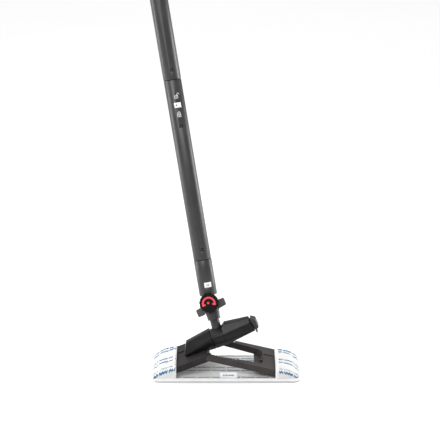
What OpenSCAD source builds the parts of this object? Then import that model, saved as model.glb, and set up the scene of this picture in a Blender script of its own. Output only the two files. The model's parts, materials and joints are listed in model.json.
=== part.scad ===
// Steam mop: a long jointed pole on a folding frame that grips a microfibre pad by its two end pockets.
// +X is to the right, +Y to the back and +Z up. The origin is the middle of the pad's underside.

/* [Pad] */
// Length of the pad, pocket end to pocket end
pad_len = 400; // [380:5:440]
// Depth of the pad, front to back
pad_depth = 148; // [142:1:160]
// Thickness of the looped microfibre sole
sole_t = 6; // [4:0.5:7]
// Height of the upper face of the pad above the floor
pad_top = 9; // [8.5:0.1:9.2]

/* [Frame] */
// Tilt of the short left wing when the frame stands half folded
left_tilt = 22; // [20:0.5:24]
// Length of the left wing from hinge to tip
left_len = 133; // [130:1:136]
// Length of the right wing from hinge to tip
right_len = 210; // [206:1:212]
// Depth of both wings, front to back
wing_depth = 132; // [130:1:134]
// Height of the wing's top face above the hinge axis
wing_up = 10; // [9:0.5:11]
// Depth of the wing's skirt below the hinge axis
wing_down = 7; // [6.5:0.5:7]
// Place of the hinge axis to the left of the pad's middle
hinge_left = 46.6; // [44:0.2:48]

/* [Barrel] */
// Height of the swivel axle above the hinge axis
axle_up = 25; // [24:0.5:26]
// Start of the swivel block along the barrel
block_start = 21.5; // [21:0.5:23]
// Length of the gap between the two barrel halves that the swivel block fills
block_gap = 35; // [34:0.5:36]
// Height of the barrel's crown above the hinge axis
crown_up = 57.5; // [56:0.5:58]

/* [Pole] */
// Lean of the neck towards the back
neck_back = 19.3; // [15:0.1:22]
// Lean of the neck to the left
neck_side = 15.78; // [12:0.1:18]
// Distance from the swivel axle to the knuckle
neck_len = 97; // [95:0.5:99]
// Lean of the pole towards the back
pole_back = 15.78; // [12:0.1:18]
// Lean of the pole to the left
pole_side = 9.81; // [8:0.1:12]
// Height of the joint between lower and middle tubes above the knuckle
seam_low = 116.7; // [112:0.1:122]
// Height of the joint between middle and upper tubes above the knuckle
seam_high = 609.1; // [590:0.1:630]
// Height of the upper tube's end above the knuckle
pole_end = 976; // [960:1:1000]
// Outer radius of the upper and lower tubes
tube_r = 24.2; // [23.8:0.1:24.5]
// Wall of the tubes
tube_wall = 1.3; // [1.2:0.1:1.4]
// Turn of the tube's buttons and slots away from the pole's front, to the right
face_turn = 11; // [0:1:15]

/* [Dial] */
// Outer radius of the steam dial
dial_r = 26; // [25:0.1:26.5]
// Number of grip grooves round the dial
dial_grooves = 14; // [12:1:18]

/* [Hidden] */
$fn = 64;
fine = 32;
big = 400;
touch = 0.1;

// Frame: the right wing's tilt follows from both tips standing at one height
hinge_z = 66.7;
tip_rise = hinge_z - 10.4;
right_tilt = asin(tip_rise / norm([right_len, wing_down])) - atan(wing_down / right_len);
plate_t = 4;
skirt_t = 2.5;
tip_taper = 25;
tip_top = 1;
knuckle_r = 8;
knuckle_gap = 8.5;
hinge_pin_r = 3;
running = 0.06;
opening_half = 43;
opening_wide = 57;
opening_end = 148;
opening_corner = 14;
shelf_len = 20;
channel_half = 22;
channel_depth = 2;
left_knuckle = [44, 55.5];
right_knuckle = [56, wing_depth / 2];

// Barrel
block_end = block_start + block_gap;
block_mid = block_start + block_gap / 2;
gap_left = 2;
gap_right = 0.7;
axle_r = 8;
shell_t = 2.5;
split_up = 14;
screw_side = 10.4;
pedal_pivot = [126, 28];
pedal_half = 13;
arm_half = 8;

// Neck and pole: places where the axes cross
pivot = [
    -hinge_left + block_mid * cos(left_tilt) - axle_up * sin(left_tilt),
    0,
    hinge_z + block_mid * sin(left_tilt) + axle_up * cos(left_tilt)
];
neck_dir = [-cos(neck_back) * sin(neck_side), sin(neck_back), cos(neck_back) * cos(neck_side)];
knuckle = pivot + neck_len * neck_dir;
neck_r = 12.8;
fork_r = 17.9;
ring_low = 72;
ring_high = 86;
cheek_gap = 10;
tongue_r = 14.5;
pin_r = 5;
dial_back = 25.2;
dial_face = 40.5;
middle_r = 23.8;
seam_gap = 0.9;
foot_bottom = 19.2;
button_up = 48.3;
slider_up = 540.3;
socket_bore_r = 12;

// Frames: each child is drawn in the local frame of a wing, the neck or the pole
module in_left() {
    translate([-hinge_left, 0, hinge_z]) rotate([0, -left_tilt, 0]) children();
}
module in_right() {
    translate([-hinge_left, 0, hinge_z]) rotate([0, right_tilt, 0]) children();
}
module in_neck() {
    translate(pivot) rotate([-neck_back, -neck_side, 0]) children();
}
module in_pole() {
    translate(knuckle) rotate([-pole_back, -pole_side, 0]) children();
}
module on_face(up) {
    in_pole() rotate([0, 0, face_turn]) translate([0, 0, up]) children();
}

// Shapes that repeat
module slab(x0, x1, y0, y1, z0, z1) {
    translate([x0, y0, z0]) cube([x1 - x0, y1 - y0, z1 - z0]);
}
module both_sides() {
    children();
    mirror([0, 1, 0]) children();
}
// An outline in X and Z, carried from front to back
module side_prism(points, half) {
    rotate([90, 0, 0]) linear_extrude(2 * half, center = true) polygon(points);
}
// A cylinder that lies along Y
module cross_rod(r, y0, y1, x = 0, z = 0) {
    translate([x, y0, z]) rotate([-90, 0, 0]) cylinder(r = r, h = y1 - y0);
}
// A cylinder that lies along X
module long_rod(r, x0, x1, y = 0, z = 0) {
    translate([x0, y, z]) rotate([0, 90, 0]) cylinder(r = r, h = x1 - x0);
}
module rounded_plate(length, depth, r, z0, z1) {
    translate([0, 0, z0]) linear_extrude(z1 - z0) {
        square([length - 2 * r, depth], center = true);
        square([length, depth - 2 * r], center = true);
        for (x = [-1, 1], y = [-1, 1])
            translate([x * (length / 2 - r), y * (depth / 2 - r)]) circle(r);
    }
}
// Hollow round tube along Z
module tube(r_out, r_in, z0, z1) {
    difference() {
        translate([0, 0, z0]) cylinder(r = r_out, h = z1 - z0);
        translate([0, 0, z0 - 1]) cylinder(r = r_in, h = z1 - z0 + 2);
    }
}
// Round wire wound into a coil along Z
function coil_point(a, r, h, turns) = [r * cos(a), r * sin(a), h * a / (360 * turns)];
function coil_ring(a, r, wire, h, turns, sides) = [
    for (k = [0 : sides - 1])
        let (b = 360 * k / sides)
        coil_point(a, r, h, turns) + wire * [cos(b) * cos(a), cos(b) * sin(a), sin(b)]
];
module coil(r, wire, h, turns) {
    sides = 6;
    steps = 12 * turns;
    rings = [for (i = [0 : steps]) each coil_ring(360 * turns * i / steps, r, wire, h, turns, sides)];
    walls = [
        for (i = [0 : steps - 1], k = [0 : sides - 1])
            let (n = (k + 1) % sides)
            [i * sides + k, i * sides + n, (i + 1) * sides + n, (i + 1) * sides + k]
    ];
    first = [for (k = [0 : sides - 1]) sides - 1 - k];
    last = [for (k = [0 : sides - 1]) steps * sides + k];
    polyhedron(rings, concat([first], walls, [last]));
}

// ---- Pad ----
module pad_sole() {
    color("whitesmoke") rounded_plate(pad_len, pad_depth, 14, 0, sole_t);
}
module pad_backing() {
    color("white") rounded_plate(pad_len - 4, pad_depth - 4, 12, sole_t, pad_top);
}
module pocket(outer, inner) {
    difference() {
        side_prism(outer, pad_depth / 2 - 2);
        side_prism(inner, wing_depth / 2 + 1);
    }
}
module pad_pocket_left() {
    color("aliceblue") pocket(
        [[-198, pad_top], [-196, 14], [-188, 22], [-175, 29.6], [-137, 44], [-137, pad_top]],
        [[-192, pad_top - 1], [-191, 13], [-186, 19], [-174.5, 27.3], [-136, 41.9], [-136, pad_top - 1]]
    );
}
module pad_pocket_right() {
    color("aliceblue") pocket(
        [[198, pad_top], [195, 15], [188, 21], [172, 28.5], [136, 36.5], [136, pad_top]],
        [[194, pad_top - 1], [192, 14], [186, 18.6], [171, 26], [135, 34], [135, pad_top - 1]]
    );
}
module pad_label() {
    color("ghostwhite") slab(-17, 31, -69.4, -68.4, pad_top, pad_top + 20);
}

// ---- Frame: left wing ----
module wing_body(length) {
    flat_end = length - tip_taper;
    difference() {
        side_prism([
            [0.4, -wing_down], [0.4, wing_up], [flat_end, wing_up],
            [length, tip_top], [length, -wing_down]
        ], wing_depth / 2);
        side_prism([
            [12, -wing_down - 1], [12, wing_up - plate_t], [flat_end - 1, wing_up - plate_t],
            [length - 3, tip_top - 3], [length - 3, -wing_down - 1]
        ], wing_depth / 2 - skirt_t);
    }
}
// Room for the other wing's knuckles: round, so that a thin lip stays over each one
module knuckle_clearance(y0, y1) {
    both_sides() cross_rod(knuckle_gap, y0, y1);
}
module knuckles(span) {
    both_sides() cross_rod(knuckle_r, span[0], span[1]);
}
// The hinge bores stop short of the front and back faces
module hinge_bore() {
    both_sides() cross_rod(hinge_pin_r + running, left_knuckle[0] - 2, wing_depth / 2 - 2.5);
}
nozzle_places = [for (u = [-36, -18], y = [-9, 9]) [u, y]];
module left_wing() {
    color("dimgray") in_left() difference() {
        union() {
            mirror([1, 0, 0]) difference() {
                wing_body(left_len);
                knuckle_clearance(right_knuckle[0] - 0.25, right_knuckle[1] + 1);
                slab(63.2, left_len + 1, -channel_half, channel_half, wing_up - channel_depth, wing_up + 1);
            }
            knuckles(left_knuckle);
            for (u = [-105, -80, -60])
                slab(u - 1, u + 1, -wing_depth / 2 + 1, wing_depth / 2 - 1, -1, wing_up - plate_t + touch);
        }
        hinge_bore();
        for (p = nozzle_places)
            translate([p[0], p[1], 0]) cylinder(r = 3.1, h = wing_up + 1);
    }
}

// ---- Frame: right wing, with the long opening that the barrel drops into ----
// The opening is wider at the hinge. Half its width at a place along the wing:
function opening_edge(u) = opening_wide - (opening_wide - opening_half) * u / (opening_end - opening_corner);
module opening_cut() {
    bend = opening_end - opening_corner;
    flat_half = opening_half - opening_corner;
    translate([0, 0, -20]) linear_extrude(40) {
        polygon([
            [-1, -opening_edge(-1)], [bend, -opening_half], [opening_end, -flat_half],
            [opening_end, flat_half], [bend, opening_half], [-1, opening_edge(-1)]
        ]);
        for (y = [-flat_half, flat_half])
            translate([bend, y]) circle(opening_corner);
    }
}
module right_wing() {
    rim = 3;
    teeth = 8;
    color("dimgray") in_right() difference() {
        union() {
            difference() {
                union() {
                    wing_body(right_len);
                    translate([0, 0, -wing_down]) linear_extrude(wing_down + wing_up) polygon([
                        [0.4, -opening_wide - rim], [opening_end + rim, -opening_half - rim],
                        [opening_end + rim, opening_half + rim], [0.4, opening_wide + rim]
                    ]);
                }
                opening_cut();
            }
            slab(opening_end - shelf_len, opening_end + 1, -opening_half - 1, opening_half + 1,
                 0.5 - wing_down, 2.5 - wing_down);
            knuckles(right_knuckle);
        }
        slab(opening_end + rim + 1, right_len + 1, -channel_half, channel_half,
             wing_up - channel_depth, wing_up + 1);
        for (i = [0 : teeth - 1])
            translate([14 + 8 * i, -opening_edge(14 + 8 * i) - 5, wing_up - 3]) cube([4, 7, 4]);
        hinge_bore();
        for (y = [-8, 8])
            long_rod(1.6, opening_end - 2, opening_end + rim + 1, y, 4.5);
    }
}
module latch_catch() {
    color("dimgray") in_right() difference() {
        union() {
            slab(opening_end - 1.6, opening_end - 0.1, -12, 12, 1, 8);
            slab(opening_end - 4.5, opening_end - 0.1, -8, 8, 1, 2.5);
        }
        for (y = [-8, 8])
            long_rod(1.6, opening_end - 3, opening_end + 1, y, 4.5);
    }
}
module catch_screws() {
    color("gray") in_right() for (y = [-8, 8]) {
        long_rod(1.3, opening_end - 1.8, opening_end + 3.5, y, 4.5);
        long_rod(1.9, opening_end - 2.8, opening_end - 1.7, y, 4.5);
    }
}
module hinge_pins() {
    color("silver") in_left() both_sides() cross_rod(hinge_pin_r, left_knuckle[0] + 0.5, wing_depth / 2 - 3);
}

// ---- Barrel: two tapered covers either side of the swivel block ----
// Round corners of one half cross-section, as [half width of the centre, height of the centre, radius]
middle_corners = [[5, 43, 7], [17, 31, 11], [18, 18, 9], [9, 3, 6]];
module corners(u, points, inset, length = touch) {
    for (p = points, side = [-1, 1])
        translate([u, side * p[0], p[1]]) rotate([0, 90, 0])
            cylinder(r = p[2] - inset, h = length, $fn = fine);
}
module left_shape(inset) {
    near = block_start - touch - inset;
    hull() {
        corners(-50 + inset, [[6, 37, 6], [15, 22, 10]], inset);
        corners(-63 + inset, [[23, wing_up + 5, 5]], inset);
        corners(near, middle_corners, inset);
        corners(near, [[6, crown_up - 9.5, 6]], inset);
    }
}
module right_shape(inset) {
    hull() {
        corners(block_end + inset, middle_corners, inset);
        corners(block_end + 10, [[6, crown_up - 6, 6]], inset);
        corners(133.5 - inset, [[4, 43.5, 5], [9, 34, 7]], inset);
        corners(138.6 - inset, [[11.5, 13, 5]], inset);
    }
}
module left_cover() {
    color("dimgray") in_left() difference() {
        left_shape(0);
        difference() {
            left_shape(shell_t);
            slab(0, block_start, -50, 50, -20, wing_up + 2.5);
        }
        slab(-70, 0, -27, 27, -20, wing_up + 3);
        slab(-70, 0.6, -50, 50, -20, wing_up);
        long_rod(axle_r + running, 10, block_start + 1, 0, axle_up);
        screw_holes(6);
        for (y = [-screw_side, screw_side])
            translate([6, y, -10]) cylinder(r = 3.1, h = wing_up + 9.95, $fn = fine);
    }
}
module screw_holes(u) {
    for (y = [-screw_side, screw_side])
        translate([u, y, -6]) cylinder(r = 1.6, h = 36, $fn = fine);
}
module pedal_slot() {
    slab(116, 155, -arm_half - 1.2, arm_half + 1.2, -5, 41.5);
}
module right_cover() {
    color("dimgray") in_left() difference() {
        union() {
            difference() {
                right_shape(0);
                right_shape(shell_t);
                pedal_slot();
            }
            intersection() {
                right_shape(0);
                union() {
                    both_sides() slab(121, 131, arm_half + 1.2, arm_half + 5, 22, 50);
                    translate([120.6, 0, 43.9]) cylinder(r = 4, h = 12, $fn = fine);
                }
            }
        }
        slab(0, 160, -50, 50, -10, split_up + 0.05);
        cross_rod(2 + running, -14, 14, pedal_pivot[0], pedal_pivot[1]);
        long_rod(axle_r + running, block_end - 1, 68, 0, axle_up);
    }
}
module right_tray() {
    color("dimgray") in_left() difference() {
        union() {
            difference() {
                right_shape(0);
                right_shape(shell_t);
            }
            intersection() {
                right_shape(0);
                for (y = [-screw_side, screw_side])
                    translate([73, y, -5]) cylinder(r = 4, h = 10.4, $fn = fine);
            }
        }
        slab(0, 160, -50, 50, split_up - 0.05, 60);
        slab(130, 155, -arm_half - 1.2, arm_half + 1.2, -5, 60);
        screw_holes(73);
    }
}
module axle_blocks() {
    color("darkslategray") in_left() difference() {
        union() {
            slab(2, 18.6, -13, 13, wing_up + 2.6, 40);
            slab(59.5, 78, -13, 13, 5.5, 40);
        }
        long_rod(axle_r + running, 0, 90, 0, axle_up);
        screw_holes(6);
        screw_holes(73);
    }
}
module swivel_axle() {
    color("silver") in_left() difference() {
        long_rod(axle_r, 6, 76, 0, axle_up);
        long_rod(4, 5, 77, 0, axle_up);
        translate([block_mid, 0, axle_up]) cylinder(r = 3, h = 10);
    }
}
module barrel_screws() {
    color("gray") in_left() for (y = [-screw_side, screw_side]) {
        translate([6, y, wing_up - 1.5]) cylinder(r = 2.8, h = 1.4, $fn = fine);
        translate([6, y, wing_up - touch]) cylinder(r = 1.4, h = 18, $fn = fine);
        translate([73, y, -3]) cylinder(r = 2.8, h = 1.6, $fn = fine);
        translate([73, y, -1.5]) cylinder(r = 1.4, h = 28, $fn = fine);
    }
}
module steam_chamber() {
    color("silver") in_left() difference() {
        slab(-46, -3, -15, 15, wing_up + 0.1, 32);
        slab(-40, -9, -11, 11, wing_up + 5, 28);
        long_rod(4.1, -10, -2, 0, axle_up - 0.05);
        for (p = nozzle_places)
            translate([p[0], p[1], wing_up - 1]) cylinder(r = 1.5, h = 8);
    }
}
module feed_pipe() {
    color("goldenrod") in_left() difference() {
        long_rod(3.9, -8.9, 12, 0, axle_up - 0.05);
        long_rod(2.6, -10, 13, 0, axle_up - 0.05);
    }
}
module steam_nozzles() {
    color("goldenrod") in_left() for (p = nozzle_places)
        translate([p[0], p[1], 3.8]) difference() {
            union() {
                cylinder(r = 2.95, h = wing_up - 3.8);
                cylinder(r = 4.2, h = 2.1, $fn = 6);
            }
            translate([0, 0, -1]) cylinder(r = 1.2, h = wing_up + 2);
        }
}

// ---- Latch pedal at the barrel's free end ----
module latch_pedal() {
    color("slategray") in_left() difference() {
        union() {
            side_prism([
                [137.8, 40], [137.4, 43], [139.6, 44.6], [150.6, 36], [151, 14], [144.6, 10.5]
            ], pedal_half);
            side_prism([
                [117, 24], [117, 32], [124.5, 32], [140, 42], [145, 20], [145, 10.8],
                [143.4, 8], [143.2, -1], [139.5, -1], [139.5, 9], [133, 24]
            ], arm_half);
        }
        cross_rod(2 + running, -20, 20, pedal_pivot[0], pedal_pivot[1]);
        for (i = [0 : 3])
            translate([141.5 + 2.4 * i, 0, 43.3 - 1.88 * i]) cross_rod(0.7, -10, 10);
    }
}
module pedal_pin() {
    color("silver") in_left() cross_rod(2, -12.5, 12.5, pedal_pivot[0], pedal_pivot[1]);
}
module pedal_spring() {
    color("silver") in_left() translate([120.6, 0, 32.6]) coil(3, 0.5, 10.6, 5);
}

// ---- Swivel block, neck and knuckle ----
module swivel_block() {
    color("dimgray") difference() {
        in_left() hull() corners(block_start + gap_left, middle_corners, 0, block_gap - gap_left - gap_right);
        in_left() long_rod(9.6, block_start - 5, block_end + 5, 0, axle_up);
        in_neck() cylinder(r = 5, h = 20);
        in_neck() translate([0, 0, 12]) cylinder(r = neck_r + 0.1, h = 60);
    }
}
module swivel_bushes() {
    color("ivory") in_left() for (u = [block_start + gap_left + 0.5, block_mid + 4.5]) difference() {
        long_rod(9.5, u, u + 12, 0, axle_up);
        long_rod(axle_r + running, u - 1, u + 13, 0, axle_up);
    }
}
module neck_tube() {
    color("dimgray") in_neck() tube(neck_r, 5, 12.2, 68.8);
}
module neck_collar() {
    color("dimgray") in_neck() rotate_extrude() polygon([
        [neck_r + 0.15, 47], [17, 47], [17.8, 47.8], [17.8, 50.2], [17, 51],
        [19.4, 66.1], [neck_r + 0.15, 66.1]
    ]);
}
module knuckle_fork() {
    head_r = 18.2;
    color("dimgray") difference() {
        union() {
            intersection() {
                in_neck() translate([0, 0, 66.2]) cylinder(r = fork_r, h = 54);
                in_pole() union() {
                    slab(-30, 30, -30, 30, -60, 0);
                    cross_rod(head_r, -30, 30);
                }
            }
            in_neck() translate([0, 0, 69]) cylinder(r = 20.6, h = 2.6);
            in_pole() cross_rod(9, -24.6, -12);
        }
        in_pole() slab(-40, 40, -cheek_gap, cheek_gap, -tongue_r - 0.8, 40);
        in_pole() cross_rod(pin_r + running, -40, 40);
        in_neck() translate([0, 0, 60]) cylinder(r = neck_r + 0.15, h = 8.9);
        in_neck() translate([0, 0, 60]) cylinder(r = 4, h = 30);
    }
}
module knuckle_pin() {
    color("silver") in_pole() difference() {
        union() {
            cross_rod(pin_r, -37, 19);
            cross_rod(8.5, 18.8, 23);
        }
        cross_rod(2.5, -38, -8);
    }
}
module ear() {
    translate([0, 7, 80.3]) rotate([90, 0, 0]) linear_extrude(14)
        polygon([[19.6, 14], [24, 16], [37, 17.5], [39.5, 16], [42, 0], [40, -3], [24, -7], [19.6, -9]]);
}
module wing_collar() {
    color("slategray") in_neck() {
        tube(21, 18.3, ring_low, ring_high);
        difference() {
            union() {
                ear();
                translate([0, 0, 2 * 80.3]) rotate([0, 180, 0]) ear();
            }
            translate([0, 0, 50]) cylinder(r = 19.6, h = 60);
            translate([0, 0, 50]) cylinder(r = 21, h = ring_low - 50);
        }
    }
}

// ---- Steam dial on the knuckle's pin ----
module steam_dial() {
    color("black") in_pole() difference() {
        union() {
            cross_rod(dial_r, -dial_face + 1.2, -dial_back);
            cross_rod(dial_r - 1.5, -dial_face, -dial_face + 2);
        }
        cross_rod(pin_r + running, -37.3, -dial_back + 1);
        for (i = [0 : dial_grooves - 1])
            rotate([0, i * 360 / dial_grooves, 0])
                cross_rod(3.4, -dial_face - 1, -dial_back - 1.5, dial_r + 0.2);
    }
}
module dial_scale() {
    marks = 11;
    mark_r = 16.2;
    sweep = 204;
    start = -12;
    color("crimson") in_pole() translate([0, -dial_face, 0]) rotate([90, 0, 0]) {
        rotate([0, 0, start]) rotate_extrude(angle = sweep) translate([mark_r - 1.8, 0]) square([3.6, 0.9]);
        for (i = [0 : marks - 1])
            rotate([0, 0, start + sweep * i / (marks - 1)]) translate([mark_r, 0, 0])
                cylinder(r = 3, h = 1.6, $fn = fine);
        for (a = [start, start + sweep])
            rotate([0, 0, a]) translate([mark_r - 4.5, 0, 0]) cylinder(r = 2.6, h = 1.6, $fn = fine);
        translate([-1.5, 2, 0]) cylinder(r = 3.2, h = 1.8, $fn = fine);
    }
}
module valve_needle() {
    color("goldenrod") in_pole() {
        cross_rod(2.42, -37.3, -14);
        translate([0, -14, 0]) rotate([-90, 0, 0]) cylinder(r1 = 2.42, r2 = 0.4, h = 5);
    }
}

// ---- Pole ----
module pole_foot() {
    color("dimgray") in_pole() difference() {
        union() {
            cross_rod(tongue_r, -cheek_gap + 0.4, cheek_gap - 0.4);
            slab(-tongue_r, tongue_r, -cheek_gap + 0.4, cheek_gap - 0.4, 0, 22);
            translate([0, 0, foot_bottom + 0.6]) cylinder(r = 22.6, h = 3);
            translate([0, 0, 22]) cylinder(r = 21.5, h = 50);
        }
        cross_rod(pin_r + running, -20, 20);
        translate([0, 0, 9]) cylinder(r = 3, h = 80);
        translate([0, 0, 62]) cylinder(r = 4.7, h = 20);
        rotate([0, 0, face_turn]) slab(-10.4, 10.4, -30, -11, button_up - 7.9, button_up + 7.9);
    }
}
module slot_pair(up) {
    rotate([0, 0, face_turn]) for (z = [-2.6, 2.6])
        slab(-5.2, 5.2, -30, -15, up + z - 1.1, up + z + 1.1);
}
module lower_tube() {
    color("dimgray") in_pole() difference() {
        tube(tube_r, tube_r - tube_wall, foot_bottom, seam_low - seam_gap);
        rotate([0, 0, face_turn]) slab(-10, 10, -30, -5, button_up - 7.4, button_up + 7.4);
    }
}
module lower_coupler() {
    color("black") in_pole() tube(22.2, 21, 74, 172);
}
module middle_tube() {
    slot_up = [145.2, 483];
    color("dimgray") in_pole() difference() {
        tube(middle_r, middle_r - tube_wall, seam_low + seam_gap, seam_high - seam_gap);
        for (up = slot_up) slot_pair(up);
        rotate([0, 0, face_turn]) slab(-3.4, 3.4, -30, -5, slider_up - 7.6, slider_up + 7.6);
    }
}
module upper_coupler() {
    color("black") in_pole() difference() {
        tube(22.2, 21, 470, 655);
        rotate([0, 0, face_turn]) slab(-4, 4, -30, -5, slider_up - 8.2, slider_up + 8.2);
    }
}
module upper_tube() {
    color("dimgray") in_pole() difference() {
        tube(tube_r, tube_r - tube_wall, seam_high + seam_gap, pole_end);
        slot_pair(635.4);
    }
}
module steam_pipe() {
    color("gainsboro") in_pole() tube(4.5, 3.3, 62.2, pole_end - 20);
}
module grip_sleeve() {
    start = pole_end - 132;
    rings = 7;
    color("dimgray") in_pole() difference() {
        tube(25.4, tube_r + 0.15, start, start + 120);
        for (i = [0 : rings - 1])
            translate([0, 0, start + 15 + 15 * i]) rotate_extrude()
                translate([26.1, 0]) circle(1.3, $fn = fine);
    }
}
module hose_socket() {
    skirt_r = tube_r - tube_wall - 0.15;
    groove_r = 14.4;
    relief_r = 12.7;
    color("dimgray") in_pole() translate([0, 0, pole_end]) rotate_extrude() polygon([
        [4.6, -20], [6.6, -20], [6.6, 0], [skirt_r - 1.4, 0], [skirt_r - 1.4, -12], [skirt_r, -12],
        [skirt_r, 0.3], [tube_r, 0.3], [tube_r, 2.5], [17, 6], [16.2, 8], [16.2, 36], [18.5, 38],
        [18.5, 44], [socket_bore_r, 44], [socket_bore_r, 31], [groove_r, 31], [groove_r, 28],
        [socket_bore_r, 28], [socket_bore_r, 6], [relief_r, 6], [relief_r, 3], [4.6, 3]
    ]);
}
module socket_seal() {
    color("black") in_pole() translate([0, 0, pole_end + 29.5]) rotate_extrude()
        translate([13.3, 0]) circle(1.08, $fn = fine);
}

// ---- Buttons on the pole ----
module release_button() {
    color("white") on_face(button_up) {
        intersection() {
            slab(-9.5, 9.5, -30, -20.4, -6.9, 6.9);
            translate([0, 0, -8]) cylinder(r = 24.9, h = 16);
        }
        slab(-8, 8, -20.6, -18.6, -5.5, 5.5);
    }
}
module button_spring() {
    color("silver") on_face(button_up) translate([0, -11.6, 0]) rotate([90, 0, 0]) coil(3.4, 0.5, 6.4, 3);
}
module lock_slider() {
    color("white") on_face(slider_up) {
        difference() {
            intersection() {
                slab(-9, 9, -30, -15, -6.8, 6.8);
                translate([0, 0, -8]) cylinder(r = 25.9, h = 16);
            }
            translate([0, 0, -8]) cylinder(r = middle_r + 0.3, h = 16);
            for (z = [-2.4, 0, 2.4])
                slab(-10, 10, -30, -25.5, z - 0.4, z + 0.4);
        }
        slab(-3, 3, -24.6, -19.6, -3.2, 3.2);
    }
}

pad_sole();
pad_backing();
pad_pocket_left();
pad_pocket_right();
pad_label();
left_wing();
left_cover();
right_cover();
right_tray();
axle_blocks();
swivel_axle();
hinge_pins();
steam_chamber();
feed_pipe();
steam_nozzles();
barrel_screws();
pedal_pin();
pedal_spring();
latch_pedal();
right_wing();
latch_catch();
catch_screws();
swivel_block();
swivel_bushes();
neck_tube();
neck_collar();
knuckle_fork();
knuckle_pin();
wing_collar();
steam_dial();
dial_scale();
valve_needle();
pole_foot();
lower_tube();
lower_coupler();
middle_tube();
upper_coupler();
upper_tube();
steam_pipe();
grip_sleeve();
hose_socket();
socket_seal();
button_spring();
release_button();
lock_slider();
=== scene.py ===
import json
import math

import bmesh
import bpy
import numpy as np
from mathutils import Matrix, Vector, noise


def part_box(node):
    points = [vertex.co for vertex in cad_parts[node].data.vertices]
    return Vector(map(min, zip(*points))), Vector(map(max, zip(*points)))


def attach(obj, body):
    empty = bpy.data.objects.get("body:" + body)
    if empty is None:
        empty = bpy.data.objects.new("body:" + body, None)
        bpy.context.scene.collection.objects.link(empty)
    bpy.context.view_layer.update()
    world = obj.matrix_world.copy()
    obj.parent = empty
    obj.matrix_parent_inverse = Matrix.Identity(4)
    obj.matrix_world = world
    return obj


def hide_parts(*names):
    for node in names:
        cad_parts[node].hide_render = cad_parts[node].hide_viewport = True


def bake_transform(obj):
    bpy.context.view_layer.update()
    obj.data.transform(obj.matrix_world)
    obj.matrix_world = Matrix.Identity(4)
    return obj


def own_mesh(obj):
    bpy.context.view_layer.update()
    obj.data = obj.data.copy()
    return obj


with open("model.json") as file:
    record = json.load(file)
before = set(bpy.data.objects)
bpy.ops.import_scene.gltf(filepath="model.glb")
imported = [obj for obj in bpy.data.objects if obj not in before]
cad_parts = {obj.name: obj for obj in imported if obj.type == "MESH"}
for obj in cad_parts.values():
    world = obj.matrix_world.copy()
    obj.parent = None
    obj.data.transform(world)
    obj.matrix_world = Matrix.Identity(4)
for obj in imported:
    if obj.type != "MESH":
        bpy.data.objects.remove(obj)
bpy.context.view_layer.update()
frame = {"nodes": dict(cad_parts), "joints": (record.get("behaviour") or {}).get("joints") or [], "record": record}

MM = 0.001
JOINTS = {j["name"]: j for j in frame["joints"]}

# ---------------------------------------------------------------- the pole's own frame
FACE_TURN = 11  # deg from the pole's front to the face that carries the button and the marks
KNUCKLE = Vector(JOINTS["pole_side_tilt"]["pos_m"])
POLE_UP = Vector(JOINTS["slider_slide"]["axis"])
POLE_FRONT = Vector(JOINTS["pole_side_tilt"]["axis"])
POLE = Matrix((POLE_UP.cross(POLE_FRONT), POLE_FRONT * -1, POLE_UP)).transposed()


def on_tube(across, up, r):
    """A point on the tube: across its face, up the pole and r out from its middle, in mm."""
    a = math.radians(FACE_TURN) + across / r
    return KNUCKLE + POLE @ Vector((r * math.sin(a), -r * math.cos(a), up)) * MM


# ---------------------------------------------------------------- node helpers
class Nodes:
    """A material's node tree, with short ways to add and join nodes."""

    def __init__(self, name):
        self.material = bpy.data.materials.new(name)
        self.material.use_nodes = True
        self.tree = self.material.node_tree
        self.shader = self.tree.nodes["Principled BSDF"]

    def add(self, kind, **values):
        """A node with its settings and inputs; _ stands for a space in an input's name."""
        node = self.tree.nodes.new("ShaderNode" + kind)
        for key, value in values.items():
            if hasattr(node, key):
                setattr(node, key, value)
            else:
                node.inputs[key.replace("_", " ")].default_value = value
        return node

    def link(self, a, b):
        self.tree.links.new(a, b)

    def fed(self, vector, kind, **values):
        """A node whose Vector input comes from vector."""
        node = self.add(kind, **values)
        self.link(vector, node.inputs["Vector"])
        return node

    def place(self):
        return self.add("TexCoord").outputs["Object"]

    def turned(self, vector, stretch, turn=(0, 0, 0)):
        return self.fed(vector, "Mapping", Rotation=turn, Scale=stretch).outputs[0]

    def noise(self, vector, scale, detail, rough=0.55):
        return self.fed(vector, "TexNoise", Scale=scale, Detail=detail, Roughness=rough).outputs["Fac"]

    def cells(self, vector, scale):
        return self.fed(vector, "TexVoronoi", Scale=scale).outputs["Distance"]

    def ramp(self, value, low, high, out_low=0.0, out_high=1.0):
        node = self.add("MapRange", From_Min=low, From_Max=high, To_Min=out_low, To_Max=out_high)
        self.link(value, node.inputs["Value"])
        return node.outputs[0]

    def math(self, kind, a, b=0.0):
        node = self.add("Math", operation=kind)
        for socket, value in zip(node.inputs, (a, b)):
            if isinstance(value, (int, float)):
                socket.default_value = value
            else:
                self.link(value, socket)
        return node.outputs[0]

    def mix(self, factor, a, b):
        node = self.add("Mix", data_type="RGBA")
        self.link(factor, node.inputs["Factor"])
        for socket, value in ((node.inputs[6], a), (node.inputs[7], b)):
            if isinstance(value, tuple):
                socket.default_value = (*value, 1)
            else:
                self.link(value, socket)
        return node.outputs[2]

    def bump(self, height, depth, strength=1.0, over=None):
        node = self.add("Bump", Distance=depth, Strength=strength)
        self.link(height, node.inputs["Height"])
        if over is not None:
            self.link(over, node.inputs["Normal"])
        return node.outputs[0]

    def out(self, colour, rough, normal, **scalars):
        for socket, value in (("Base Color", colour), ("Roughness", rough), ("Normal", normal)):
            if value is not None:
                self.link(value, self.shader.inputs[socket])
        for key, value in scalars.items():
            self.shader.inputs[key.replace("_", " ")].default_value = value
        return self.material


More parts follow.
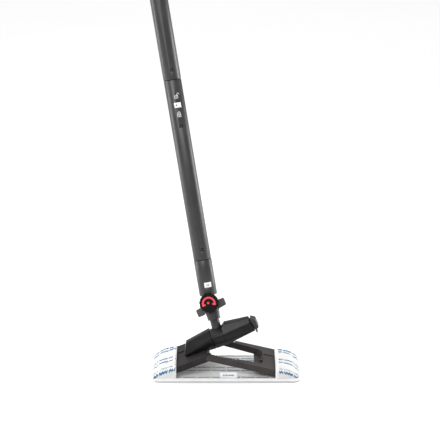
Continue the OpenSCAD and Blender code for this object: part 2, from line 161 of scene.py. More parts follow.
# ---------------------------------------------------------------- hard materials
def plastic(name, colour, worn, rough, grain=2600, depth=0.00006, streak=None, **scalars):
    """Moulded plastic: fine grain, cloudy gloss, a little colour drift and a few fine scuffs."""
    n = Nodes(name)
    at = n.place()
    cloud = n.noise(at, 26, 4)
    base = n.mix(n.ramp(cloud, 0.3, 0.75), colour, worn)
    scuff_at = n.turned(at, (1, 1, 0.12), (0.3, 0.2, 0.7))
    scuff = n.ramp(n.noise(scuff_at, 700, 5, 0.7), 0.66, 0.78, 0.0, 0.5)
    base = n.mix(scuff, base, tuple(min(1.0, c * 1.9 + 0.012) for c in colour))
    fine = n.noise(at, grain, 2)
    gloss = n.math("ADD", n.ramp(cloud, 0.25, 0.8, rough - 0.05, rough + 0.06),
                   n.ramp(fine, 0.2, 0.8, -0.03, 0.04))
    normal = n.bump(fine, depth)
    if streak is not None:
        drawn = n.noise(n.turned(at, (1, 1, 0.02), streak), 900, 3)
        normal = n.bump(drawn, 0.00003, 0.6, normal)
    return n.out(base, gloss, normal, **scalars)


def metal(name, colour, dark, rough, stretch=(1, 1, 0.05)):
    """Bare metal: fine tool lines, drawn out by stretch, and faint stains."""
    n = Nodes(name)
    at = n.place()
    lines = n.noise(n.turned(at, stretch), 1800, 4)
    stain = n.ramp(n.noise(at, 60, 4), 0.35, 0.75)
    return n.out(n.mix(stain, colour, dark), n.ramp(lines, 0.2, 0.8, rough - 0.08, rough + 0.1),
                 n.bump(lines, 0.00004), Metallic=1.0)


def rubber(name, colour, worn, rough):
    """Matt rubber: small pits and a little dust."""
    n = Nodes(name)
    at = n.place()
    dust = n.ramp(n.noise(at, 45, 5), 0.45, 0.8)
    return n.out(n.mix(dust, colour, worn), n.ramp(dust, 0, 1, rough - 0.05, rough + 0.05),
                 n.bump(n.cells(at, 900), 0.00012))


# the pole's drawn streaks run along it
pole_turn = POLE.to_euler()
tube_turn = (-pole_turn.x, -pole_turn.y, -pole_turn.z)
LOOK = {
    "barrel_plastic": plastic("barrel_black", (0.004, 0.004, 0.0045), (0.007, 0.007, 0.007), 0.30,
                              depth=0.00005, Specular_IOR_Level=0.22),
    "pole_plastic": plastic("pole_charcoal", (0.022, 0.021, 0.022), (0.030, 0.029, 0.030), 0.38,
                            grain=2400, depth=0.00004, streak=tube_turn, Specular_IOR_Level=0.50),
    "ear_plastic": plastic("ear_grey", (0.058, 0.060, 0.055), (0.082, 0.084, 0.077), 0.42,
                           Specular_IOR_Level=0.35),
    "pedal_plastic": plastic("pedal_grey", (0.012, 0.012, 0.012), (0.020, 0.020, 0.019), 0.34,
                             Specular_IOR_Level=0.40),
    "black_plastic": plastic("deep_black", (0.004, 0.004, 0.0042), (0.008, 0.008, 0.008), 0.45,
                             Specular_IOR_Level=0.12),
    "red_plastic": plastic("signal_red", (0.80, 0.060, 0.075), (0.66, 0.042, 0.055), 0.34,
                           Coat_Weight=0.25),
    "white_plastic": plastic("button_white", (0.84, 0.84, 0.83), (0.77, 0.77, 0.75), 0.33),
    "ivory_plastic": plastic("bearing_ivory", (0.66, 0.62, 0.52), (0.55, 0.51, 0.42), 0.48),
    "pipe_plastic": plastic("pipe_clear", (0.66, 0.66, 0.64), (0.58, 0.58, 0.55), 0.38),
    "steel": metal("turned_steel", (0.60, 0.61, 0.62), (0.42, 0.43, 0.44), 0.27),
    "aluminium": metal("cast_aluminium", (0.66, 0.67, 0.68), (0.50, 0.51, 0.52), 0.42, (1, 1, 1)),
    "brass": metal("turned_brass", (0.76, 0.58, 0.28), (0.50, 0.36, 0.16), 0.30),
    "grip_rubber": rubber("grip_rubber", (0.022, 0.022, 0.023), (0.042, 0.041, 0.040), 0.72),
    "seal_rubber": rubber("seal_rubber", (0.014, 0.014, 0.015), (0.030, 0.029, 0.029), 0.62),
}
neck_look = plastic("neck_black", (0.022, 0.019, 0.020), (0.034, 0.030, 0.031), 0.38,
                    Specular_IOR_Level=0.40)
# nodes that look different from the rest of their slot
NODE_LOOK = {
    "left_wing": plastic("frame_black", (0.013, 0.0115, 0.012), (0.023, 0.020, 0.021), 0.50,
                         grain=1900, depth=0.00014, Specular_IOR_Level=0.15),
    "right_wing": plastic("frame_grey", (0.030, 0.026, 0.026), (0.048, 0.042, 0.041), 0.50,
                          grain=1900, depth=0.00014, Specular_IOR_Level=0.18),
    "neck_tube": neck_look, "neck_collar": neck_look, "knuckle_fork": neck_look,
    "latch_catch": metal("blackened_steel", (0.060, 0.060, 0.062), (0.035, 0.035, 0.036), 0.45),
}


# ---------------------------------------------------------------- fabric materials
def weave(n, at, thread):
    """Height of a plain weave: two crossed sets of threads, with slubs."""
    size = math.pi / thread
    parts = n.fed(at, "SeparateXYZ").outputs
    across = n.math("SINE", n.math("MULTIPLY", parts[0], size))
    along = n.math("SINE", n.math("MULTIPLY", parts[1], size))
    slub = n.noise(n.turned(at, (1, 0.15, 1)), 900, 3)
    return n.math("ADD", n.math("MULTIPLY", across, along), n.math("MULTIPLY", slub, 0.9))


def loop_pile(n, at, loops_at, loops, clumps, lift):
    """Height of a looped pile: close round loops in soft clumps."""
    rounds = n.ramp(n.cells(loops_at, loops), 0.0, 0.7, 1.0, 0.0)
    return n.math("ADD", rounds, n.math("MULTIPLY", n.noise(at, clumps, 4), lift))


def terry(name, colour, shade):
    """Looped microfibre, with its loops shaken a little out of place, and with painted shade in the hollows of its
    pile.
    """
    n = Nodes(name)
    at = n.place()
    wander = n.fed(at, "TexNoise", Scale=60)
    shift = n.add("VectorMath", operation="SCALE", Scale=0.006)
    n.link(wander.outputs["Color"], shift.inputs[0])
    shaken = n.add("VectorMath", operation="ADD")
    n.link(at, shaken.inputs[0])
    n.link(shift.outputs[0], shaken.inputs[1])
    height = loop_pile(n, at, shaken.outputs[0], loops=430, clumps=70, lift=1.2)
    # darker where the pile is low, between its loops and clumps: painted shade in the pile's hollows
    pile_shade = n.ramp(height, 0.5, 1.7)
    return n.out(n.mix(pile_shade, shade, colour), n.ramp(pile_shade, 0, 1, 0.95, 0.82), n.bump(height, 0.0011),
                 Sheen_Weight=0.35, Sheen_Roughness=0.45)


def woven(name, colour, shade, thread, depth):
    """Plain woven tape, cloth or thread."""
    n = Nodes(name)
    at = n.place()
    height = weave(n, at, thread)
    drift = n.ramp(n.noise(at, 40, 4), 0.3, 0.75)
    return n.out(n.mix(drift, shade, colour), n.ramp(height, -1, 2, 0.92, 0.78), n.bump(height, depth),
                 Sheen_Weight=0.2, Sheen_Roughness=0.4)


def striped(name, colour, shade, ink, rows, half, wave, period, gap):
    """Looped cloth with rows of zigzag thread, placed by the cloth's own coordinates (attribute "cloth").
    rows are where they run across it, half is half a row's width, wave and period are the zigzag's height
    and length, and gap is the spacing of the small breaks in the thread."""
    n = Nodes(name)
    at = n.place()
    own = n.add("Attribute", attribute_name="cloth").outputs["Vector"]
    run, across, _ = n.fed(own, "SeparateXYZ").outputs
    zig = n.math("MULTIPLY", n.math("PINGPONG", run, period / 2), 4 * wave / period)
    ragged = n.math("MULTIPLY", n.math("SUBTRACT", n.noise(at, 260, 3), 0.5), 0.0026)
    place = n.math("ADD", n.math("SUBTRACT", across, zig), ragged)
    stripes = None
    for row in rows:
        near = n.math("ABSOLUTE", n.math("SUBTRACT", place, row - wave / 2))
        band = n.ramp(near, half * 0.75, half * 1.25, 1.0, 0.0)
        stripes = band if stripes is None else n.math("MAXIMUM", stripes, band)
    dash = n.ramp(n.math("PINGPONG", n.math("ADD", run, ragged), gap), gap * 0.06, gap * 0.14)
    drop = n.ramp(n.noise(at, 330, 2), 0.28, 0.36)
    thread = n.math("MULTIPLY", stripes, n.math("MULTIPLY", dash, drop))
    pile = loop_pile(n, at, at, loops=560, clumps=75, lift=1.1)
    # darker where the pile is low, between its loops and clumps: painted shade in the pile's hollows, with the
    # stripes' ink laid over it
    pile_shade = n.ramp(pile, 0.45, 1.6)
    height = n.math("ADD", pile, n.math("MULTIPLY", thread, 0.7))
    return n.out(n.mix(thread, n.mix(pile_shade, shade, colour), ink), n.ramp(pile_shade, 0, 1, 0.95, 0.82),
                 n.bump(height, 0.0008), Sheen_Weight=0.08, Sheen_Roughness=0.45)


pile_look = terry("sole_loops", (0.82, 0.82, 0.81), (0.62, 0.62, 0.61))
hem_look = woven("hem_tape", (0.84, 0.84, 0.84), (0.76, 0.76, 0.77), thread=0.0011, depth=0.0003)
thread_look = woven("white_thread", (0.80, 0.80, 0.81), (0.70, 0.70, 0.72), thread=0.0005, depth=0.0001)
tag_look = woven("satin_tape", (0.80, 0.81, 0.82), (0.72, 0.73, 0.75), thread=0.0005, depth=0.00006)
tag_ink = woven("tag_marks", (0.16, 0.18, 0.22), (0.24, 0.26, 0.30), thread=0.0005, depth=0.00006)
pocket_look = striped("pocket_stripes", (0.76, 0.755, 0.74), (0.65, 0.645, 0.63), (0.026, 0.135, 0.280),
                      rows=(-0.0735, -0.0605, -0.023, -0.004, 0.043, 0.061),
                      half=0.0031, wave=0.0020, period=0.0070, gap=0.0130)
backing_look = striped("backing_stripes", (0.80, 0.80, 0.78), (0.70, 0.70, 0.68), (0.07, 0.14, 0.27),
                       rows=(-0.061, -0.018, 0.001, 0.042, 0.058),
                       half=0.0021, wave=0.0020, period=0.0080, gap=0.0200)


# ---------------------------------------------------------------- mesh helpers
def set_smooth(obj):
    obj.data.polygons.foreach_set("use_smooth", [True] * len(obj.data.polygons))


def new_piece(name, verts, faces, look, smooth=True):
    mesh = bpy.data.meshes.new(name)
    mesh.from_pydata([tuple(v) for v in verts], [], faces)
    mesh.update()
    obj = bpy.data.objects.new(name, mesh)
    bpy.context.scene.collection.objects.link(obj)
    mesh.materials.append(look)
    if smooth:
        set_smooth(obj)
    return obj


def points_of(obj):
    return np.array([v.co for v in obj.data.vertices], float)


def set_points(obj, points):
    obj.data.vertices.foreach_set("co", points.astype(np.float32).ravel())


def set_cloth(obj, values):
    """Stores each point's place on the flat cloth, for the stripes."""
    layer = obj.data.attributes.new("cloth", "FLOAT_VECTOR", "POINT")
    layer.data.foreach_set("vector", np.array(values, np.float32).ravel())


def thicken(obj, thickness, offset=-1):
    """Gives a sheet its thickness, to be applied by the caller."""
    thick = obj.modifiers.new("thick", "SOLIDIFY")
    thick.thickness = thickness
    thick.offset = offset


def apply_modifiers(obj):
    dg = bpy.context.evaluated_depsgraph_get()
    mesh = bpy.data.meshes.new_from_object(obj.evaluated_get(dg))
    obj.modifiers.clear()
    obj.data = mesh


def out_facing(obj):
    bm = bmesh.new()
    bm.from_mesh(obj.data)
    bmesh.ops.recalc_face_normals(bm, faces=bm.faces)
    bm.to_mesh(obj.data)
    bm.free()
    return obj


def grid_faces(rows, cols, closed=False):
    faces = []
    for i in range(rows - 1):
        for j in range(cols if closed else cols - 1):
            k = (j + 1) % cols
            faces.append((i * cols + j, i * cols + k, (i + 1) * cols + k, (i + 1) * cols + j))
    return faces


def swept(name, path, section, look, closed=False):
    """A band with a fixed cross-section (pairs: sideways, up) carried along a path of (point, side, up)."""
    verts = []
    for point, side, up in path:
        for a, b in section:
            verts.append(point + side * a + up * b)
    rows, cols = len(path), len(section)
    faces = grid_faces(rows, cols, True)
    if closed:
        for j in range(cols):
            k = (j + 1) % cols
            faces.append(((rows - 1) * cols + j, (rows - 1) * cols + k, k, j))
    else:
        faces.append(tuple(range(cols)))
        faces.append(tuple((rows - 1) * cols + j for j in reversed(range(cols))))
    return out_facing(new_piece(name, verts, faces, look))


def oval(a, b, count=12):
    turns = [2 * math.pi * i / count for i in range(count)]
    return [(a * math.cos(t), b * math.sin(t)) for t in turns]


THREAD_RINGS = ((-0.5, 0.35), (-0.3, 1.0), (0.0, 1.15), (0.3, 1.0), (0.5, 0.35))  # place along it, girth
THREAD_SINK = -0.00025  # how far a thread's two ends go down into the cloth


def stitches(name, path, look, length, r):
    """Short rounded threads laid along a path of (point, direction, up)."""
    verts, faces = [], []
    for point, ahead, up in path:
        side = ahead.cross(up).normalized()
        base = len(verts)
        for t, s in THREAD_RINGS:
            sink = THREAD_SINK if abs(t) == 0.5 else 0.0
            for k in range(6):
                a = math.pi * k / 3
                verts.append(point + ahead * (t * length) + side * (math.cos(a) * r * s)
                             + up * (math.sin(a) * r * s + sink))
        for face in grid_faces(len(THREAD_RINGS), 6, True):
            faces.append(tuple(base + k for k in face))
        faces.append(tuple(base + k for k in range(6)))
        faces.append(tuple(base + 24 + k for k in reversed(range(6))))
    return out_facing(new_piece(name, verts, faces, look))


def simulate(obj, pressure, cap, frames, pins=None, stiff=12.0, grow=0.0):
    """Runs Blender's cloth on obj and keeps its shape, with no point moved further than cap."""
    scene = bpy.context.scene
    rest = points_of(obj)
    if pins is not None:
        group = obj.vertex_groups.new(name="pins")
        for index, weight in enumerate(pins):
            if weight > 0:
                group.add([index], float(weight), "REPLACE")
    mod = obj.modifiers.new("cloth", "CLOTH")
    s = mod.settings
    s.quality = 6
    s.mass = 0.15
    s.tension_stiffness = s.compression_stiffness = stiff
    s.shear_stiffness = 4
    s.bending_stiffness = 0.25
    s.use_pressure = True
    s.uniform_pressure_force = pressure
    s.shrink_min = -grow
    s.effector_weights.gravity = 0
    if pins is not None:
        s.vertex_group_mass = "pins"
        s.pin_stiffness = 1
    mod.collision_settings.use_collision = False
    mod.point_cache.frame_start, mod.point_cache.frame_end = 1, frames
    for f in range(1, frames + 1):
        scene.frame_set(f)
    dg = bpy.context.evaluated_depsgraph_get()
    mesh = obj.evaluated_get(dg).to_mesh()
    moved = np.array([v.co for v in mesh.vertices], float)
    obj.evaluated_get(dg).to_mesh_clear()
    obj.modifiers.clear()
    obj.vertex_groups.clear()
    scene.frame_set(1)
    step = moved - rest
    far = np.linalg.norm(step, axis=1)
    scale = np.minimum(1.0, cap / np.maximum(far, 1e-9))
    set_points(obj, rest + step * scale[:, None])
    obj.data.update()


def ripple(x, y, z, size):
    """Smooth unevenness of up to about size."""
    return noise.noise(Vector((x, y, z))) * size


# ---------------------------------------------------------------- carried-over CAD nodes
for node_name, node_obj in frame["nodes"].items():
    slot_name = next(s["material_slot"] for s in frame["record"]["subparts"] if s["node"] == node_name)
    node_obj.data.materials.clear()
    node_obj.data.materials.append(NODE_LOOK.get(node_name) or LOOK.get(slot_name) or thread_look)

# moulded and turned edges, rounded by so many mm
ROUNDED = {
    "left_wing": 0.8, "right_wing": 0.8, "left_cover": 0.9, "right_cover": 0.9, "right_tray": 0.7,
    "latch_pedal": 0.9, "swivel_block": 0.8, "neck_collar": 0.5, "knuckle_fork": 0.7, "wing_collar": 1.2,
    "steam_dial": 0.4, "dial_scale": 0.35, "lower_tube": 0.35, "middle_tube": 0.3, "upper_tube": 0.3,
    "release_button": 0.5, "lock_slider": 0.35, "hose_socket": 0.6, "grip_sleeve": 0.5, "pole_foot": 0.6,
    "latch_catch": 0.3, "swivel_axle": 0.5, "knuckle_pin": 0.6,
}
for node_name, width in ROUNDED.items():
    node_obj = frame["nodes"][node_name]
    node_obj.modifiers.new("weld", "WELD").merge_threshold = 0.00002
    soft = node_obj.modifiers.new("rounded", "BEVEL")
    soft.width = width * MM
    soft.segments = 2
    soft.limit_method = "ANGLE"
    soft.angle_limit = math.radians(32)
    soft.use_clamp_overlap = True
    soft.harden_normals = True


# ---------------------------------------------------------------- pad: looped sole
PAD_HALF = 0.2  # half the pad's length


def pad_outline(half_x, half_y, r, step=0.004):
    """Points round a rounded rectangle, anticlockwise, with their outward direction."""
    pts = []
    corners = ((1, -1, -90), (1, 1, 0), (-1, 1, 90), (-1, -1, 180))
    for i, (sx, sy, start) in enumerate(corners):
        c = Vector((sx * (half_x - r), sy * (half_y - r), 0))
        for k in range(7):
            a = math.radians(start + 15 * k)
            d = Vector((math.cos(a), math.sin(a), 0))
            pts.append((c + d * r, d))
        nx, ny, n0 = corners[(i + 1) % 4]
        last, d = pts[-1]
        a = math.radians(n0)
        end = Vector((nx * (half_x - r), ny * (half_y - r), 0)) + Vector((math.cos(a), math.sin(a), 0)) * r
        count = max(1, int((end - last).length / step))
        for k in range(1, count):
            pts.append((last.lerp(end, k / count), d))
    return pts


SOLE_LEVELS = ((0.0012, 0.005), (0.0006, 0.0015), (0.0022, 0.0004), (0.0045, 0.0), (0.0066, 0.0008),
               (0.0078, 0.0030))  # height, inset from the outline


def sole_piece():
    """The looped pile: a slab with a rounded, slightly uneven edge, swelled by a cloth run."""
    _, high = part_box("pad_sole")
    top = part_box("pad_backing")[1].z
    inset = 0.0025
    outline = pad_outline(high.x - inset, high.y - inset, r=0.013)
    verts = []
    for z, drawn_in in SOLE_LEVELS:
        for p, d in outline:
            q = p - d * drawn_in
            verts.append(Vector((q.x, q.y, z)))
    count = len(outline)
    faces = grid_faces(len(SOLE_LEVELS), count, True)
    faces.append(tuple(reversed(range(count))))
    faces.append(tuple((len(SOLE_LEVELS) - 1) * count + j for j in range(count)))
    obj = out_facing(new_piece("mop_sole", verts, faces, pile_look))
    remesh = obj.modifiers.new("remesh", "REMESH")
    remesh.mode = "VOXEL"
    remesh.voxel_size = 0.0022
    apply_modifiers(obj)
    simulate(obj, pressure=4.0, cap=0.0012, frames=12)
    # tufts at the edge only; the top stays under the backing, and the underside is flat
    co = points_of(obj)
    for i, (x, y, z) in enumerate(co):
        edge = min(high.x - abs(x), high.y - abs(y))
        tuft = ripple(x * 90, y * 90, z * 90, 0.0006) + ripple(x * 330, y * 330, z * 330, 0.0005)
        fade = max(0.0, 1.0 - edge / 0.008)
        out = Vector((x / high.x, y / high.y, 0)).normalized()
        co[i][0] += out.x * tuft * fade * 1.6
        co[i][1] += out.y * tuft * fade * 1.6
        co[i][2] = min(max(co[i][2], 0.0), top - 0.0009)
        if z < 0.003 and edge > 0.004:
            co[i][2] = 0.0002
    set_points(obj, co)
    obj.data.update()
    obj.data.materials.clear()
    obj.data.materials.append(pile_look)
    set_smooth(obj)
    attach(obj, "pad")
    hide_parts("pad_sole")


sole_piece()


# ---------------------------------------------------------------- pad: backing and hem
def backing_piece():
    """The backing between the pockets, lightly rippled, with its blue stripes."""
    low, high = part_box("pad_backing")
    inset = 0.0015
    rows, cols = 121, 49
    verts, own = [], []
    for i in range(rows):
        x = low.x + inset + (high.x - low.x - 2 * inset) * i / (rows - 1)
        for j in range(cols):
            y = low.y + inset + (high.y - low.y - 2 * inset) * j / (cols - 1)
            edge = min(high.x - abs(x), high.y - abs(y))
            wave = ripple(x * 34, y * 20, 0.7, 0.00035) + ripple(x * 11, y * 46, 2.1, 0.0003)
            sunk = 0.0012 * max(0.0, 1 - edge / 0.004) ** 2
            verts.append((x, y, high.z - 0.0003 + wave * min(1.0, edge / 0.01) - sunk))
            own.append((x + PAD_HALF, y, 0))
    obj = new_piece("mop_backing", verts, grid_faces(rows, cols), backing_look)
    set_cloth(obj, own)
    thicken(obj, 0.0011, -1 if obj.data.polygons[0].normal.z > 0 else 1)
    apply_modifiers(obj)
    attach(obj, "pad")
    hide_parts("pad_backing")


backing_piece()


def hem_piece():
    """The rounded tape that binds the pad's edge, with its row of stitches."""
    path = []
    for p, d in pad_outline(0.1985, 0.0725, r=0.0128):
        wobble = ripple(p.x * 60, p.y * 60, 5.0, 0.0004)
        path.append((Vector((p.x, p.y, 0.0066 + wobble)), d, Vector((0, 0, 1))))
    band = swept("pad_hem", path, oval(0.0023, 0.0052), hem_look, closed=True)
    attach(band, "pad")
    marks = []
    for i, (point, d, up) in enumerate(path):
        ahead = (path[(i + 1) % len(path)][0] - point).normalized()
        marks.append((point - d * 0.0013 + up * 0.0046, ahead, (up * 2 - d).normalized()))
    thread = stitches("hem_stitches", marks, thread_look, length=0.0028, r=0.00036)
    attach(thread, "pad")


hem_piece()

# ---------------------------------------------------------------- pad: end pockets
POCKET_HALF = 71.6  # mm, half the pocket's width at its mouth
POCKET_FOOT = 8.6  # mm, height of its sewn edge
POCKET_SHOULDER = 9.5  # mm, radius where its sides turn into its top
POCKET_DEEP = 60  # mm from the mouth to the pad's end


def pocket_arch(x, t, xs, zs):
    """The pocket's section at x, as (y, z) in mm; t runs from 0 at the mouth to 1 at the pad's end."""
    order = sorted(zip(xs, zs))
    z_top = float(np.interp(x, [o[0] for o in order], [o[1] for o in order]))
    rise = max(z_top - POCKET_FOOT, 0.3)
    r = min(POCKET_SHOULDER, rise * 0.8)
    h = POCKET_HALF - 2.2 * t ** 3
    profile = [(-h, POCKET_FOOT), (-h, POCKET_FOOT + rise - r)]
    for k in range(1, 8):
        a = math.pi / 2 * k / 7
        profile.append((-h + r - r * math.cos(a), POCKET_FOOT + rise - r + r * math.sin(a)))
    profile += [(-y, z) for y, z in reversed(profile)]
    return np.array(profile)


def pocket_piece(name, side, heights, carry, band_name, node):
    """A pocket: cloth arched over the wing's tip, sewn down on three edges and bound at its mouth.
    carry(piece) is applied to each piece: the cloth, its binding and its stitches."""
    xs = [h[0] for h in heights]
    zs = [h[1] for h in heights]
    rows, cols = 45, 91
    verts, own, pins = [], [], []
    for i in range(rows):
        t = i / (rows - 1)
        x = xs[0] + (xs[-1] - xs[0]) * t
        points = pocket_arch(x, t, xs, zs)
        steps = np.linalg.norm(np.diff(points, axis=0), axis=1)
        lengths = np.concatenate(([0], np.cumsum(steps)))
        for j in range(cols):
            s = lengths[-1] * j / (cols - 1)
            y = float(np.interp(s, lengths, points[:, 0]))
            z = float(np.interp(s, lengths, points[:, 1]))
            verts.append((x * MM, y * MM, z * MM))
            down = min(s, lengths[-1] - s)
            own.append((abs(x) * MM, (s - lengths[-1] / 2) * MM, 0))
            # held fast where it is sewn down (fading over 3 and 4 mm) and at its bound mouth
            sewn = max(1.0 - down / 3.0, 1.0 - (1 - t) * POCKET_DEEP / 4.0, 0.0)
            mouth = 1.0 if i == 0 else (0.55 if i == 1 else 0.0)
            pins.append(min(1.0, max(sewn, mouth)))
    obj = new_piece(name, verts, grid_faces(rows, cols), pocket_look)
    if obj.data.polygons[len(obj.data.polygons) // 2].normal.z <= 0:
        obj.data.flip_normals()
    set_cloth(obj, own)
    simulate(obj, pressure=1.4, cap=0.0017, frames=16, pins=pins, stiff=6.0, grow=0.035)
    co = points_of(obj)
    normals = np.array([v.normal for v in obj.data.vertices], float)
    for k in range(len(co)):
        x, y, z = co[k]
        puff = ripple(x * 55, y * 38, z * 30 + 3, 0.0007) + ripple(x * 150, y * 120, 7, 0.00025)
        co[k] += normals[k] * puff * (1 - pins[k])
    set_points(obj, co)
    thicken(obj, 0.0017)
    fine = obj.modifiers.new("fine", "SUBSURF")
    fine.levels = fine.render_levels = 1
    apply_modifiers(obj)
    set_smooth(obj)
    # the mouth's binding, carried along the sewn edge of the finished cloth
    edge = [Vector(co[j]) for j in range(cols)]
    toward = Vector((-1 if side > 0 else 1, 0, 0))
    path = []
    for j, p in enumerate(edge):
        ahead = (edge[min(j + 1, cols - 1)] - edge[max(j - 1, 0)]).normalized()
        up = ahead.cross(toward)
        up = up if up.dot(Vector((0, p.y, 0.04))) >= 0 else -up
        path.append((p - toward * 0.0028 - up * 0.0008, toward, up))
    band = swept(band_name, path, oval(0.0048, 0.0017), hem_look)
    marks = []  # two rows of stitches along the binding
    for j in range(1, cols - 1):
        p, out_dir, up = path[j]
        ahead = (path[j + 1][0] - path[j - 1][0]).normalized()
        for shift in (-0.0026, 0.0026):
            marks.append((p + out_dir * shift + up * 0.00135, ahead, up))
    thread = stitches(band_name + "_stitches", marks, thread_look, length=0.0022, r=0.0003)
    for piece in (obj, band, thread):
        carry(piece)
    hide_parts(node)


def blend_left(piece):
    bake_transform(piece)


def squash_right(piece):
    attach(piece, "pad")
    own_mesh(piece)


# (x, outer top z) in mm, from the mouth to the pad's end
LEFT_HEIGHTS = ((-136.5, 44.6), (-152, 38.6), (-175, 30.0), (-186, 24.5), (-193, 18.0), (-197.5, 11.5))
RIGHT_HEIGHTS = ((135.5, 36.9), (155, 33.0), (172, 29.0), (184, 23.5), (192, 17.0), (197.5, 11.0))
pocket_piece("pocket_left", -1, LEFT_HEIGHTS, blend_left, "left_mouth_band", "pad_pocket_left")
pocket_piece("pocket_right", 1, RIGHT_HEIGHTS, squash_right, "right_mouth_band", "pad_pocket_right")


# ---------------------------------------------------------------- pad: sewn tag
def tag_piece():
    """The slightly bowed tag on the pad's front edge, with plain bars in place of print."""
    low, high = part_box("pad_label")

    def bowed(x, start, t):
        bow = math.sin(math.pi * t) * 0.0006 + 0.0007 * math.sin(3 * (x - low.x) / (high.x - low.x))
        return (x, start - bow * t - 0.0006 * t * t, low.z + (high.z - low.z) * t)

    rows, cols = 25, 13
    verts = []
    for i in range(rows):
        for j in range(cols):
            x = low.x + (high.x - low.x) * i / (rows - 1)
            verts.append(bowed(x, low.y + 0.0004, j / (cols - 1)))
    obj = new_piece("care_tag", verts, grid_faces(rows, cols), tag_look)
    thicken(obj, 0.0006, 0)
    apply_modifiers(obj)
    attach(obj, "pad")
    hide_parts("pad_label")
    verts, faces = [], []
    x = low.x + 0.009
    for k, width in enumerate((3.2, 2.2, 3.8, 2.0, 3.2, 2.6, 3.6, 2.4)):
        width *= MM
        base = len(verts)
        tall = 0.0019 if k % 2 else 0.0023
        for dx, dz in ((0, -tall), (width, -tall), (width, tall), (0, tall)):
            verts.append(bowed(x + dx, low.y - 0.00002, 0.55 + dz / (high.z - low.z)))
        faces.append((base, base + 1, base + 2, base + 3))
        x += width + 0.0009
    ink = new_piece("tag_marks", verts, faces, tag_ink, False)
    thicken(ink, 0.00012)
    apply_modifiers(ink)
    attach(ink, "pad")


tag_piece()

# ---------------------------------------------------------------- marks on the pole
mark_look = plastic("mark_white", (0.78, 0.78, 0.77), (0.66, 0.66, 0.65), 0.5)
icon_look = plastic("icon_black", (0.03, 0.03, 0.03), (0.06, 0.06, 0.06), 0.5)
PRINT_LEVELS = (-0.1, 0.18)  # mm, from just under the face to the print's top


def printed(name, shapes, up, r, look, body="pole"):
    """Flat shapes (lists of closed outlines in mm) laid on the tube's face as raised print."""
    verts, faces = [], []
    for outline in shapes:
        base = len(verts)
        count = len(outline)
        for level in PRINT_LEVELS:
            for a, b in outline:
                verts.append(on_tube(a, up + b, r + level))
        faces.append(tuple(base + k for k in reversed(range(count))))
        faces.append(tuple(base + count + k for k in range(count)))
        for k in range(count):
            m = (k + 1) % count
            faces.append((base + k, base + m, base + count + m, base + count + k))
    obj = out_facing(new_piece(name, verts, faces, look, False))
    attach(obj, body)


def half_ring(cx, cy, r0, r1, steps=12):
    """The upper half of a ring, as short four-cornered pieces."""
    shapes = []
    for k in range(steps):
        a, b = (math.radians(180 * q / steps) for q in (k, k + 1))
        corners = ((r0, a), (r1, a), (r1, b), (r0, b))
        shapes.append([(cx + r * math.cos(t), cy + r * math.sin(t)) for r, t in corners])
    return shapes


def plate(a0, a1, b0, b1, step=1.4):
    """A rectangle as narrow upright strips, so that it follows the tube's curve."""
    count = max(1, math.ceil((a1 - a0) / step))
    edges = [a0 + (a1 - a0) * k / count for k in range(count + 1)]
    return [[(p, b0), (q, b0), (q, b1), (p, b1)] for p, q in zip(edges, edges[1:])]


def padlock(shift):
    """A plain padlock; a shackle shifted sideways stands open, with one leg."""
    body = plate(-4.8, 4.8, -6.0, -4.6) + plate(-4.8, 4.8, 0.6, 2.0)
    body += plate(-4.8, -3.4, -4.6, 0.6) + plate(3.4, 4.8, -4.6, 0.6) + plate(-0.9, 0.9, -3.2, -0.8)
    shackle = half_ring(shift, 4.2, 2.5, 3.9)
    legs = plate(shift - 3.9, shift - 2.5, 2.0, 4.3)
    if shift == 0:
        legs += plate(2.5, 3.9, 2.0, 4.3)
    return body + shackle + legs


# mm up the pole from the knuckle, and mm out from its middle
SLIDER_UP, SLOT_UP, BUTTON_UP = 540.3, 600.2, 48.3
TUBE_R, SLIDER_R, BUTTON_R = 23.8, 25.9, 24.9
printed("open_lock_mark", padlock(5.4), SLIDER_UP + 24, TUBE_R, mark_look)
printed("closed_lock_mark", padlock(0), SLIDER_UP - 26, TUBE_R, mark_look)
printed("slot_mark", [[(-2.4, -2.2), (2.4, -2.2), (0, 2.4)]], SLOT_UP, TUBE_R, icon_look)
printed("slider_mark", plate(-5.4, -1.6, -1.6, 1.6), SLIDER_UP, SLIDER_R, icon_look, "slider")
printed("button_mark", plate(-4.2, 0.6, -0.9, 0.9) + [[(1.2, -2.2), (4.2, 0), (1.2, 2.2)]],
        BUTTON_UP, BUTTON_R, icon_look, "button")


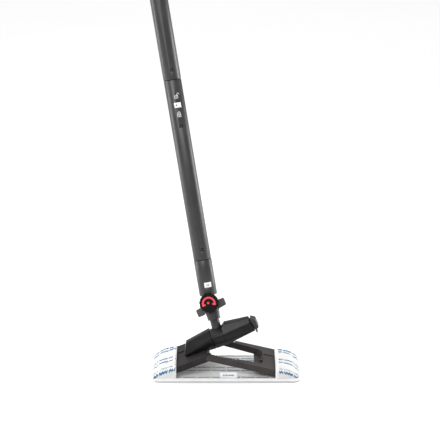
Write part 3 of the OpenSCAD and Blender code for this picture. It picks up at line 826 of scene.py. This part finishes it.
# ---------------------------------------------------------------- stage, light and camera
def floor_piece():
    n = Nodes("studio_floor")
    cloud = n.ramp(n.noise(n.place(), 1.2, 3), 0.2, 0.8)
    rough = n.ramp(cloud, 0.0, 1.0, 0.20, 0.24)
    n.out(n.mix(cloud, (0.93, 0.93, 0.93), (0.95, 0.95, 0.95)), rough, None)
    size, low = 9.0, -0.0004
    verts = [(-size, -size, low), (size, -size, low), (size, size * 1.5, low), (-size, size * 1.5, low)]
    new_piece("studio_floor", verts, [(0, 1, 2, 3)], n.material, False)


floor_piece()


def soft_box(name, place, target, size, power):
    """A rectangular light; for one aimed downwards, size runs along y first and x second."""
    light = bpy.data.lights.new(name, "AREA")
    light.shape = "RECTANGLE"
    light.size, light.size_y = size
    light.energy = power
    obj = bpy.data.objects.new(name, light)
    bpy.context.scene.collection.objects.link(obj)
    obj.location = place
    obj.rotation_euler = (Vector(target) - Vector(place)).to_track_quat("-Z", "Y").to_euler()


soft_box("ceiling", (0.0, 5.0, 4.6), (0.0, 5.0, 0.0), (13.0, 9.0), 300)
soft_box("key", (-1.1, -2.5, 2.5), (0, 0, 0.1), (2.2, 1.2), 70)
soft_box("ridge", (-1.5, 0.30, 2.3), (-0.05, 0, 0.1), (0.45, 3.0), 17)
soft_box("strip_right", (1.9, 0.55, 0.55), (-0.1, 0.1, 0.6), (0.85, 1.1), 28)
soft_box("strip_left", (-1.9, 0.40, 0.55), (-0.1, 0.1, 0.6), (0.70, 1.1), 14)

world = bpy.context.scene.world or bpy.data.worlds.new("studio")
bpy.context.scene.world = world
world.use_nodes = True
background = world.node_tree.nodes["Background"]
background.inputs["Color"].default_value = (1, 1, 1, 1)
background.inputs["Strength"].default_value = 0.60
bpy.context.scene.view_settings.view_transform = "Standard"

CAMERA_AT = (-0.01644, -4.49334, 2.19309)  # fitted to the picture
CAMERA_DOWN = 21.285  # deg below level
camera = bpy.data.cameras.new("camera")
camera_obj = bpy.data.objects.new("camera", camera)
bpy.context.scene.collection.objects.link(camera_obj)
camera_obj.location = CAMERA_AT
camera_obj.rotation_euler = (math.radians(90 - CAMERA_DOWN), 0, 0)
camera.sensor_width = 36
camera.lens = 148.8
camera.clip_start, camera.clip_end = 0.1, 60
bpy.context.scene.camera = camera_obj
